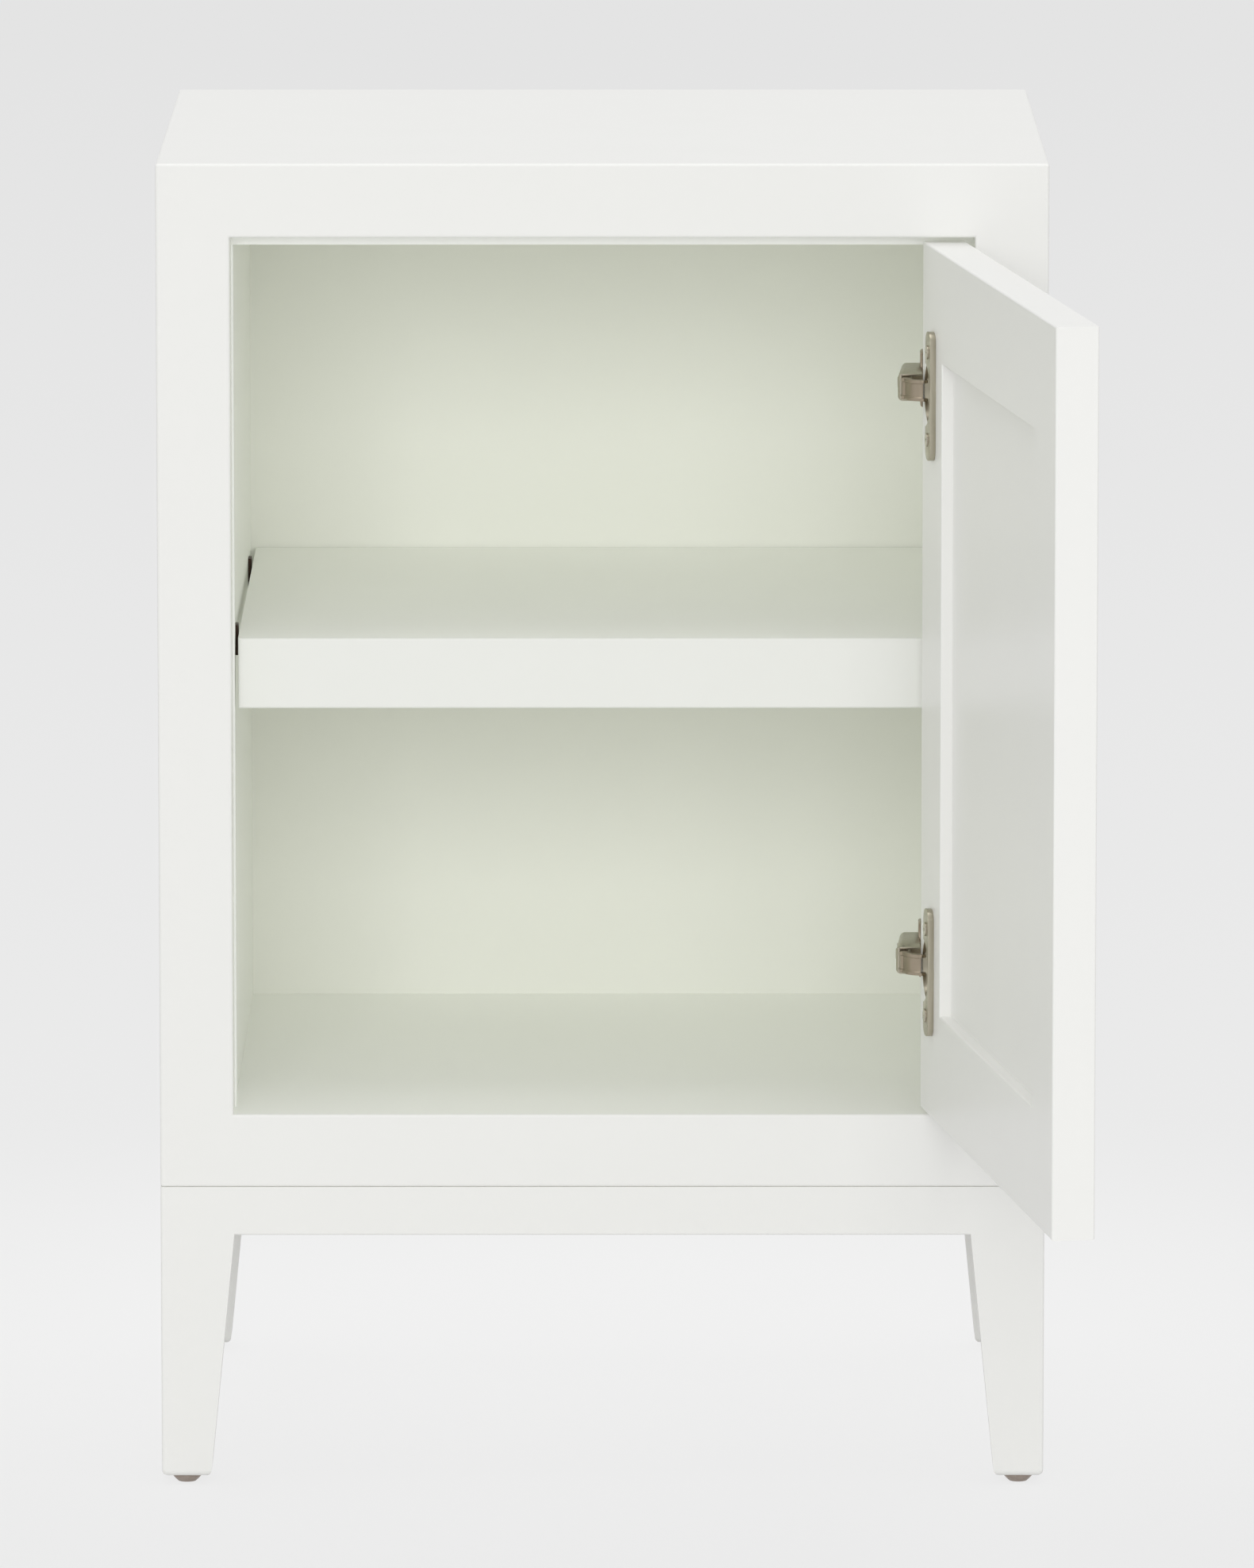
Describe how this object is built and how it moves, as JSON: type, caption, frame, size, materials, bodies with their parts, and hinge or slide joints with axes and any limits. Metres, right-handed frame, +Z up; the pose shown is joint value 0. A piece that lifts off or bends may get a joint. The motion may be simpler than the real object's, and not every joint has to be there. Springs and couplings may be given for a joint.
{
  "type": "side table",
  "caption": "Small white side table with a case, an inset side-hung door on concealed cup hinges, a loose shelf and four tapered legs.",
  "frame": {"origin": "on the floor under the centre of the case, at the centre of the four glides", "axes": "+Z up, -Y out of the front of the case, +X to the hinge side seen from the front"},
  "size_m": [0.4694, 0.7451, 0.688],
  "materials": {
    "white_lacquer": "white satin lacquer over wood",
    "white_lacquer_panel": "white satin lacquer on a thin board",
    "nickel_hinge": "nickel-plated steel",
    "steel_screw": "plated steel",
    "brown_support": "dark brown plated steel",
    "tan_glide": "tan plastic",
    "bare_wood": "bare softwood"
  },
  "bodies": {
    "case": {"back_panel": "white_lacquer_panel", "case_top": "white_lacquer", "case_bottom": "white_lacquer", "case_left_side": "white_lacquer", "case_right_side": "white_lacquer", "top_door_stop": "white_lacquer", "latch_side_door_stop": "white_lacquer", "base_front_rail": "white_lacquer", "base_back_rail": "white_lacquer", "base_left_rail": "white_lacquer", "base_right_rail": "white_lacquer", "leg_front_left": "white_lacquer", "leg_front_right": "white_lacquer", "leg_back_left": "white_lacquer", "leg_back_right": "white_lacquer", "leg_glides": "tan_glide", "base_corner_blocks": "bare_wood", "shelf_support_front_left": "brown_support", "shelf_support_front_right": "brown_support", "shelf_support_back_left": "brown_support", "shelf_support_back_right": "brown_support", "upper_hinge_arm": "nickel_hinge", "lower_hinge_arm": "nickel_hinge", "upper_hinge_plate": "nickel_hinge", "lower_hinge_plate": "nickel_hinge", "hinge_plate_screws": "steel_screw", "hinge_arm_screws": "steel_screw", "upper_hinge_rivets": "nickel_hinge", "lower_hinge_rivets": "nickel_hinge"},
    "door": {"door_hinge_stile": "white_lacquer", "door_latch_stile": "white_lacquer", "door_top_rail": "white_lacquer", "door_bottom_rail": "white_lacquer", "door_panel": "white_lacquer", "cup_screws": "steel_screw", "upper_hinge_cup": "nickel_hinge", "lower_hinge_cup": "nickel_hinge"},
    "upper_outer_link_body": {"upper_outer_link": "nickel_hinge"},
    "upper_inner_link_body": {"upper_inner_link": "nickel_hinge"},
    "lower_outer_link_body": {"lower_outer_link": "nickel_hinge"},
    "lower_inner_link_body": {"lower_inner_link": "nickel_hinge"},
    "shelf": {"shelf_board": "white_lacquer", "shelf_front_edge": "white_lacquer"}
  },
  "joints": [
    {"name": "door_swing", "type": "hinge", "parent": "case", "child": "door", "pos_m": [0.182, -0.1861, 0.4225], "axis": [0, 0, 1], "range_deg": [-98.5, 6.5]},
    {"name": "upper_outer_link_swing", "type": "hinge", "parent": "case", "child": "upper_outer_link_body", "pos_m": [0.1555, -0.1745, 0.5715], "axis": [0, 0, 1], "range_deg": [-4.93, 67.68]},
    {"name": "upper_inner_link_swing", "type": "hinge", "parent": "case", "child": "upper_inner_link_body", "pos_m": [0.158, -0.172, 0.5715], "axis": [0, 0, 1], "range_deg": [-5.6, 77.72]},
    {"name": "lower_outer_link_swing", "type": "hinge", "parent": "case", "child": "lower_outer_link_body", "pos_m": [0.1555, -0.1745, 0.2735], "axis": [0, 0, 1], "range_deg": [-4.93, 67.68]},
    {"name": "lower_inner_link_swing", "type": "hinge", "parent": "case", "child": "lower_inner_link_body", "pos_m": [0.158, -0.172, 0.2735], "axis": [0, 0, 1], "range_deg": [-5.6, 77.72]},
    {"name": "shelf_lift", "type": "slide", "parent": "case", "child": "shelf", "axis": [0, 0, 1], "range_m": [0, 0.06]}
  ],
  "couplings": [
    {"joint": "upper_outer_link_swing", "follows": "door_swing", "ratio": -0.682},
    {"joint": "upper_inner_link_swing", "follows": "door_swing", "ratio": -0.784},
    {"joint": "lower_outer_link_swing", "follows": "door_swing", "ratio": -0.682},
    {"joint": "lower_inner_link_swing", "follows": "door_swing", "ratio": -0.784}
  ]
}
